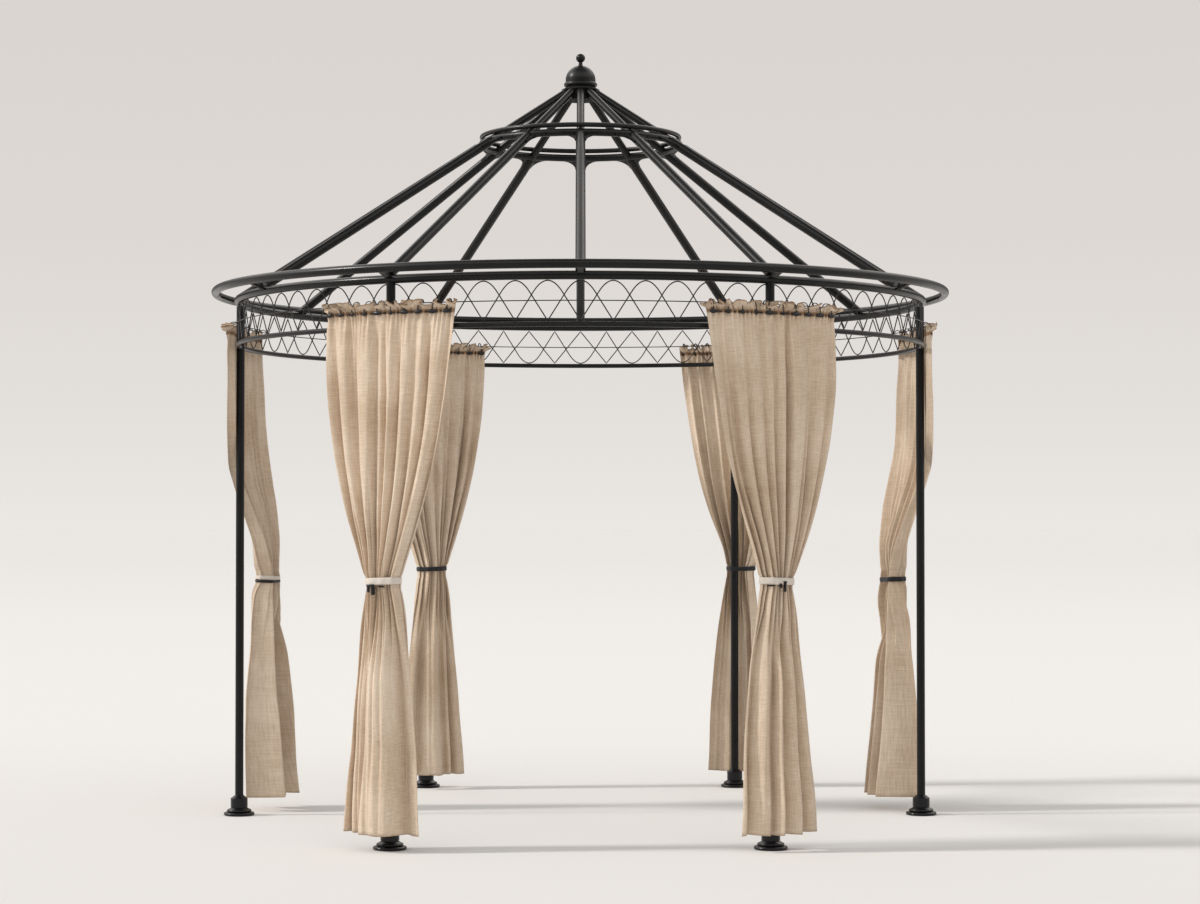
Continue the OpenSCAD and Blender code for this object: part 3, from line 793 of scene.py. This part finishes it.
def tie_band(name, points, z, turn, with_post, band, thick, seed, tie_z):
    """A band drawn tight round the cloth at the tie-back, and round the post too where it hangs on
    one: the piece, its length, its line, the way that faces out, and the two level directions."""
    rng = np.random.default_rng(seed)
    out_way = np.array([math.cos(turn), math.sin(turn)])
    side_way = np.array([-math.sin(turn), math.cos(turn)])
    rows = points[np.abs(z - tie_z) < band / 2 + 0.004][..., :2].reshape(-1, 2)
    flat = np.stack([rows @ out_way, rows @ side_way], -1)
    if with_post:
        ring = np.linspace(0, TURN, 32, endpoint=False)
        reach = POST_R + POST_SLACK
        post = np.stack([TOP_R + reach * np.cos(ring), reach * np.sin(ring)], -1)
        flat = np.concatenate([flat, post])
    hull = outline_round(flat)
    closed = np.concatenate([hull, hull[:1]])
    length = np.concatenate([[0], np.cumsum(np.linalg.norm(np.diff(closed, axis=0), axis=1))])
    count = BAND_STEPS
    at = np.linspace(0, length[-1], count, endpoint=False)
    loop = np.stack([np.interp(at, length, closed[:, 0]), np.interp(at, length, closed[:, 1])], -1)
    for _ in range(2):
        loop = (np.roll(loop, 1, 0) + 2 * loop + np.roll(loop, -1, 0)) / 4
    ahead = np.roll(loop, -1, 0) - np.roll(loop, 1, 0)
    normal = np.stack([ahead[:, 1], -ahead[:, 0]], -1)
    normal /= np.linalg.norm(normal, axis=1)[:, None]

    # Across the band: up the outside and down the inside, with rounded edges
    rises = np.linspace(-1, 1, BAND_LEVELS)
    section = [(rise, 1.0 if abs(rise) < 0.99 else 0.7) for rise in rises]
    section += [(rise, 0.0) for rise in rises[::-1]]
    crumple = BAND_CRUMPLE * np.sin(at / length[-1] * 2 * np.pi * 11 + rng.uniform(0, 6))
    sag = BAND_SAG * np.sin(at / length[-1] * 2 * np.pi + rng.uniform(0, 6))
    verts = []
    for rise, outside in section:
        puff = BAND_GAP + outside * thick + outside * crumple * (1 - abs(rise))
        puff = puff + BAND_SWELL * (1 - rise ** 2) * outside
        ring = loop + normal * np.broadcast_to(np.atleast_1d(puff), (count,))[:, None]
        height = tie_z + sag + rise * band / 2
        xy = ring[:, :1] * out_way[None, :] + ring[:, 1:] * side_way[None, :]
        verts.append(np.concatenate([xy, np.broadcast_to(height, (count,))[:, None]], 1))
    faces = []
    total = len(section)
    for k in range(total):
        low, high = k * count, (k + 1) % total * count
        for a in range(count):
            b = (a + 1) % count
            faces.append((low + a, low + b, high + b, high + a))
    tie = mesh_piece(name, np.concatenate(verts), faces)
    across = np.tile(at, total)
    along = np.repeat([rise * band / 2 for rise, _ in section], count)
    lay_threads(tie, across, along)
    return tie, float(length[-1]), loop, normal, out_way, side_way


def soft_box(name, middle, across_way, out_way, width, thick, tall, edge):
    """A small block with rounded edges, turned to face out_way."""
    verts = []
    for x in (-0.5, 0.5):
        for y in (-0.5, 0.5):
            for h in (-0.5, 0.5):
                flat = middle[:2] + across_way * x * width + out_way * y * thick
                verts.append((flat[0], flat[1], middle[2] + h * tall))
    faces = [(0, 1, 3, 2), (4, 6, 7, 5), (0, 4, 5, 1), (2, 3, 7, 6), (0, 2, 6, 4), (1, 5, 7, 3)]
    box = mesh_piece(name, verts, faces)
    shell = bmesh.new()
    shell.from_mesh(box.data)
    bmesh.ops.bevel(shell, geom=list(shell.edges), offset=edge, segments=3, profile=0.5, affect="EDGES")
    bmesh.ops.recalc_face_normals(shell, faces=shell.faces)
    shell.to_mesh(box.data)
    shell.free()
    box.data.shade_smooth()
    return box


# The dark pieces under the front tie-backs: place along the band, height, width, thickness, how
# tall, and how far each stands out. On the left a buckle, its ribbed tail and a small bar; on the
# right a hook, its button and a thin bar
TAIL_RIBS = [(0.011, 0.999 - 0.0072 * k, 0.017, 0.0080, 0.0028, 0.008) for k in range(4)]
CLIP_BLOCKS = {
    "front_left": [
        (0.000, 1.003, 0.032, 0.008, 0.011, 0.006), (-0.006, 0.990, 0.013, 0.006, 0.024, 0.006),
        (0.011, 0.985, 0.014, 0.006, 0.034, 0.007), (0.046, 1.000, 0.024, 0.005, 0.006, 0.004),
        *TAIL_RIBS,
    ],
    "front_right": [
        (-0.008, 1.000, 0.010, 0.007, 0.040, 0.006), (-0.029, 1.003, 0.011, 0.008, 0.017, 0.006),
        (-0.008, 1.017, 0.013, 0.009, 0.005, 0.007), (-0.060, 1.004, 0.030, 0.004, 0.005, 0.004),
    ],
}


def tie_clip(side, loop, facing, out_way, side_way):
    """The buckle, hook and bar under a front tie-back."""
    front = int(np.argmax(loop[:, 0]))
    inner = 10 * (loop[:, 0] < loop[:, 0].mean())
    parts = []
    for k, (along, height, width, thick, tall, out) in enumerate(CLIP_BLOCKS[side]):
        near = int(np.argmin(np.abs(loop[:, 1] - loop[front, 1] - along) + inner))
        spot = loop[near] + facing[near] * out
        way = out_way * facing[near][0] + side_way * facing[near][1]
        flat = out_way * spot[0] + side_way * spot[1]
        across = np.array([-way[1], way[0]])
        parts.append(soft_box(f"clip_{side}_{k}", np.array([*flat, height]), across, way, width, thick,
                              tall, min(thick, tall) * 0.3))
    return joined(f"tie_clip_{side}", parts)


# ---------------------------------------- curtain hooks

HOOK_BUTTON = (0.55, 1.5, 1.0)
# A hook's top, and the pulls that bend its wire out and down, as (out, up)
HOOK_START = (-0.004, -0.006)
HOOK_RISE = (-0.006, 0.022)
HOOK_OVER = 0.010


def hook_tree():
    """A bent wire hook with a button on its end, on every point, turned away from the axis."""
    tree, entry, leave = geometry_tree("curtain hooks", (
        ("Wire Radius", FLOAT, 0.0016), ("Button Radius", FLOAT, 0.0055),
        ("Reach", FLOAT, 0.024), ("Drop", FLOAT, 0.034),
    ))

    def point(x, z):
        made = node(tree, "ShaderNodeCombineXYZ")
        put(tree, x, made.inputs["X"])
        put(tree, z, made.inputs["Z"])
        return made.outputs[0]

    fall = maths(tree, "MULTIPLY", entry["Drop"], -1.0)
    bend = node(tree, "GeometryNodeCurvePrimitiveBezierSegment")
    settle(bend, Resolution=12)
    link(tree, point(*HOOK_START), bend.inputs["Start"])
    link(tree, point(*HOOK_RISE), bend.inputs["Start Handle"])
    link(tree, point(maths(tree, "MULTIPLY", entry["Reach"], 1.3), HOOK_OVER), bend.inputs["End Handle"])
    link(tree, point(entry["Reach"], fall), bend.inputs["End"])
    wire = swept(tree, bend.outputs["Curve"], entry["Wire Radius"], 6)
    button = node(tree, "GeometryNodeMeshUVSphere")
    settle(button, Segments=10, Rings=6)
    link(tree, entry["Button Radius"], button.inputs["Radius"])
    moved = node(tree, "GeometryNodeTransform")
    settle(moved, Scale=HOOK_BUTTON)
    link(tree, button.outputs["Mesh"], moved.inputs["Geometry"])
    link(tree, point(entry["Reach"], fall), moved.inputs["Translation"])
    one = node(tree, "GeometryNodeJoinGeometry")
    link(tree, wire, one.inputs["Geometry"])
    link(tree, moved.outputs["Geometry"], one.inputs["Geometry"])

    place = node(tree, "GeometryNodeInputPosition").outputs[0]
    level = node(tree, "ShaderNodeVectorMath", operation="MULTIPLY")
    level.inputs[1].default_value = (1, 1, 0)
    link(tree, place, level.inputs[0])
    facing = step(tree, "FunctionNodeAlignEulerToVector", level.outputs[0], "Vector", 0,
                  axis="X", pivot_axis="Z")
    spread = node(tree, "GeometryNodeInstanceOnPoints")
    link(tree, entry["Geometry"], spread.inputs["Points"])
    link(tree, one.outputs["Geometry"], spread.inputs["Instance"])
    link(tree, facing, spread.inputs["Rotation"])
    widths = node(tree, "FunctionNodeRandomValue", data_type="FLOAT_VECTOR")
    settle(widths, Min=(1.0, 0.6, 1.0), Max=(1.0, 1.9, 1.0), Seed=5)
    link(tree, widths.outputs["Value"], spread.inputs["Scale"])
    real = step(tree, "GeometryNodeRealizeInstances", spread.outputs["Instances"])
    smooth = step(tree, "GeometryNodeSetShadeSmooth", real)
    painted(tree, smooth, entry, leave)
    return tree


HEADING_BLUR = 400
HEADING_OUT = 0.0015


def wire_path(name, line, outward):
    """The line of the heading, evened out across the cloth, as a mesh of edges."""
    radius = np.linalg.norm(line[:, :2], axis=1)
    bearing = np.arctan2(line[:, 1], line[:, 0])
    even = soft_blur(radius[None, :], HEADING_BLUR)[0] + HEADING_OUT * outward
    spots = [on_circle(even[k], bearing[k], line[k, 2]) for k in range(4, len(line) - 4, 4)]
    return mesh_piece(name, spots, [], [(k, k + 1) for k in range(len(spots) - 1)])


def wire_tree():
    """A round wire along the edges of a mesh."""
    tree, entry, leave = geometry_tree("heading wire and shade line", (("Wire Radius", FLOAT, 0.002),))
    line = step(tree, "GeometryNodeMeshToCurve", entry["Geometry"], "Mesh", "Curve")
    wire = swept(tree, line, entry["Wire Radius"], WIRE_SIDES)
    real = step(tree, "GeometryNodeRealizeInstances", wire)
    painted(tree, real, entry, leave)
    return tree


CURTAIN_HOOKS = hook_tree()
HEADING_WIRE_AND_SHADE = wire_tree()
HOOKS = 10
HOOK_R = 0.0018
BUTTON_R = 0.0080
HOOK_LIFT = 0.004
HEADING_WIRE_R = 0.0026
# The broad folds of each curtain under its tie: place across from 0 to 1, and width
PANELS = {
    "front_left": [(0.07, 0.040), (0.17, 0.032), (0.29, 0.040), (0.86, 0.080)],
    "front_right": [(0.13, 0.070), (0.33, 0.045), (0.55, 0.075), (0.83, 0.060)],
    "right": [(0.17, 0.060), (0.52, 0.090), (0.86, 0.060)],
    "back_right": [(0.12, 0.060), (0.38, 0.050), (0.74, 0.080)],
    "back_left": [(0.18, 0.050), (0.42, 0.075), (0.80, 0.060)],
    "left": [(0.20, 0.055), (0.55, 0.100), (0.88, 0.055)],
}
# Cloth bands in front and on the left, black webbing on the others
CLOTH_TIES = ("front_left", "front_right", "left")


def hang_curtain(side, seed, way, outward, shifts):
    """One curtain: its piece, the points of its cloth, and the heights of its rows."""
    on_post = side not in ("left", "right")
    near, far, depths = SIDE_NEAR, SIDE_FAR, SIDE_DEPTHS
    if on_post:
        near, far, depths = POST_CLEAR, POST_CLEAR, POST_DEPTHS
    cloth, points, z = curtain_cloth(f"linen_curtain_{side}", seed, POST_ANGLE[side], near, far, depths,
                                     shifts, way, outward, PANELS[side])
    thick = cloth.modifiers.new("cloth thickness", "SOLIDIFY")
    thick.thickness = CLOTH_THICK
    thick.offset = 0
    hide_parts(f"curtain_{side}")
    finish_piece(cloth, LINEN)
    return cloth, points, z


def tie_back(side, seed, turn, points, z):
    """The tie-back of a curtain, the strap under the left one, and the clips of the front pair."""
    on_post = side not in ("left", "right")
    of_cloth = side in CLOTH_TIES
    band = SIDE_BAND if side == "left" else TIE_BAND if of_cloth else STRAP_BAND
    tie_z = TIE + TIE_LIFT[side]
    kind = "cloth" if of_cloth else "strap"
    tie, round_length, loop, facing, out_way, side_way = tie_band(
        f"{kind}_tie_{side}", points, z, turn, on_post, band, BAND_THICK, seed, tie_z)
    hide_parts("cloth_ties" if of_cloth else "strap_ties")
    finish_piece(tie, TIE_CLOTH if of_cloth else TIE_STRAP)
    if side == "left":
        strap, strap_length, *_ = tie_band(f"strap_tie_{side}", points, z, turn, on_post, THIN_STRAP,
                                           THIN_STRAP_THICK, 90, tie_z - THIN_STRAP_DROP)
        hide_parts("cloth_ties")
        finish_piece(strap, TIE_STRAP)
    if side in CLIP_BLOCKS:
        finish_piece(tie_clip(side, loop, facing, out_way, side_way), CAST_PAINT)


def hang_hooks(side, outward, line):
    """The black wire through the heading of a curtain, a wire that also stands in as painted shade for the
    dark line along the gather, and its hooks from the rail to that wire.
    """
    picks = np.linspace(0.04, 0.96, HOOKS) * COLUMNS
    front = np.array([line[int(c)] for c in picks])
    # Partly painted shade: this black wire along the gather line also gives the dark shadow line under the
    # frill
    wire = grown(f"heading_wire_{side}", HEADING_WIRE_AND_SHADE, source=wire_path(f"wire_path_{side}", line, outward),
                 Wire_Radius=HEADING_WIRE_R, Material=WIRE_PAINT)
    finish_piece(wire, WIRE_PAINT)
    far = np.linalg.norm(front[:, :2], axis=1) - RAIL_R
    bearing = np.arctan2(front[:, 1], front[:, 0])
    hook_z = RAIL_Z + HOOK_LIFT
    spots = mesh_piece(f"hook_spots_{side}", [on_circle(RAIL_R, a, hook_z) for a in bearing], [])
    hooks = grown(f"curtain_hooks_{side}", CURTAIN_HOOKS, source=spots, Wire_Radius=HOOK_R,
                  Button_Radius=BUTTON_R, Reach=float(far[np.argmax(np.abs(far))]) + 0.002 * outward,
                  Drop=hook_z - GATHER, Material=WIRE_PAINT)
    finish_piece(hooks, WIRE_PAINT)


for i, side in enumerate(SIDES):
    way = -1 if side == "left" else 1
    outward = -1 if side == "back_left" else 1
    shifts = SIDE_SHIFT if side in ("left", "right") else POST_SHIFT
    cloth, points, z = hang_curtain(side, 40 + i, way, outward, shifts)
    turn = POST_ANGLE[side] + way * shifts[-1][1] / TOP_R
    tie_back(side, 60 + i, turn, points, z)
    hang_hooks(side, outward, points[int(np.argmin(np.abs(z - GATHER)))])


# ---------------------------------------- floor, light and camera

FLOOR_REACH = 300
CAMERA_FAR = 12.0
CAMERA_REACH = 2000
EYE_Z = 1.253
LENS_MM = 84.6
SENSOR_MM = 36.0
TILT = math.radians(90 + 1.373)
PAN = math.radians(-0.396)
SUN_STRENGTH = 2.1
SUN_ANGLE = math.radians(7)
SUN_TILT = math.radians(58)
SUN_TURN = math.radians(-85)
SKY_STRENGTH = 0.70
FRONT_FILL = 0.30
LEFT_FILL = 0.07
GLOSS_BASE = 0.35
SIDE_BOXES = 1.1
TOP_BOX = 2.2
BOX_FALLOFF = 3.0


def plain_floor():
    corners = [(-FLOOR_REACH, -FLOOR_REACH, 0), (FLOOR_REACH, -FLOOR_REACH, 0),
               (FLOOR_REACH, FLOOR_REACH, 0), (-FLOOR_REACH, FLOOR_REACH, 0)]
    floor = mesh_piece("studio_floor", corners, [(0, 1, 2, 3)])
    material, tree, shader = new_material("studio_floor")
    # Painted light and shade: the floor's colour is lightest a few metres behind the pergola, and a shade
    # deeper close to the camera and far away
    split = node(tree, "ShaderNodeSeparateXYZ")
    link(tree, node(tree, "ShaderNodeTexCoord").outputs["Object"], split.inputs[0])
    away = node(tree, "ShaderNodeMapRange")
    settle(away, From_Min=-4, From_Max=84)
    link(tree, split.outputs["Y"], away.inputs["Value"])
    tone = ramp(tree, away.outputs["Result"], [
        (0.0, (0.775, 0.762, 0.748)), (0.035, (0.805, 0.792, 0.778)), (0.09, (0.848, 0.835, 0.818)),
        (0.18, (0.842, 0.829, 0.812)), (0.5, (0.800, 0.788, 0.773)), (1.0, (0.776, 0.764, 0.752)),
    ])
    link(tree, tone, shader.inputs["Base Color"])
    settle(shader, Roughness=0.9, Specular_IOR_Level=0.1)
    floor.data.materials.append(material)


def sky():
    world = bpy.data.worlds.new("studio_air")
    bpy.context.scene.world = world
    world.use_nodes = True
    tree = world.node_tree
    tree.nodes.clear()
    leave = node(tree, "ShaderNodeOutputWorld")
    seen = node(tree, "ShaderNodeBackground")
    lit = node(tree, "ShaderNodeBackground")
    settle(lit, Color=(1.0, 0.985, 0.965, 1))
    split = node(tree, "ShaderNodeSeparateXYZ")
    link(tree, node(tree, "ShaderNodeTexCoord").outputs["Generated"], split.inputs[0])
    # The air in front and to the left is brighter, as from two large soft boxes
    from_front = maths(tree, "MULTIPLY", split.outputs["Y"], -FRONT_FILL)
    from_left = maths(tree, "MULTIPLY", split.outputs["X"], -LEFT_FILL)
    fill = maths(tree, "ADD", maths(tree, "ADD", from_front, from_left), SKY_STRENGTH)
    link(tree, fill, lit.inputs["Strength"])
    tone = ramp(tree, split.outputs["Z"], [
        (0.0, (0.826, 0.796, 0.767)), (0.035, (0.775, 0.745, 0.716)),
        (0.10, (0.723, 0.687, 0.660)), (0.19, (0.695, 0.660, 0.632)),
    ])
    link(tree, tone, seen.inputs["Color"])
    # Gloss also picks up the soft boxes at both sides and the one overhead
    boxes = maths(tree, "POWER", maths(tree, "ABSOLUTE", split.outputs["X"]), BOX_FALLOFF)
    overhead = ramp(tree, split.outputs["Z"], [
        (0.30, (0, 0, 0)), (0.50, (1, 1, 1)), (0.75, (1, 1, 1)), (0.92, (0, 0, 0)),
    ])
    gloss = maths(tree, "ADD", maths(tree, "MULTIPLY", boxes, SIDE_BOXES), GLOSS_BASE)
    gloss = maths(tree, "ADD", gloss, maths(tree, "MULTIPLY", overhead, TOP_BOX))
    rays = node(tree, "ShaderNodeLightPath")
    glossy = rays.outputs["Is Glossy Ray"]
    gloss = maths(tree, "MULTIPLY", maths(tree, "SUBTRACT", gloss, 1.0), glossy)
    link(tree, maths(tree, "ADD", gloss, 1.0), seen.inputs["Strength"])
    shown = maths(tree, "MAXIMUM", rays.outputs["Is Camera Ray"], glossy)
    mix = node(tree, "ShaderNodeMixShader")
    link(tree, shown, mix.inputs["Fac"])
    link(tree, lit.outputs[0], mix.inputs[1])
    link(tree, seen.outputs[0], mix.inputs[2])
    link(tree, mix.outputs[0], leave.inputs["Surface"])


def sun():
    data = bpy.data.lights.new("key_light", "SUN")
    data.energy = SUN_STRENGTH
    data.angle = SUN_ANGLE
    data.color = (1.0, 0.965, 0.92)
    lamp = placed("key_light", data)
    lamp.rotation_euler = (SUN_TILT, 0, SUN_TURN)


def camera():
    data = bpy.data.cameras.new("camera")
    data.lens = LENS_MM
    data.sensor_width = SENSOR_MM
    data.clip_end = CAMERA_REACH
    made = placed("camera", data)
    made.location = (0, -CAMERA_FAR, EYE_Z)
    made.rotation_euler = (TILT, 0, PAN)
    bpy.context.scene.camera = made


plain_floor()
sky()
sun()
camera()
bpy.context.scene.view_settings.view_transform = "Standard"
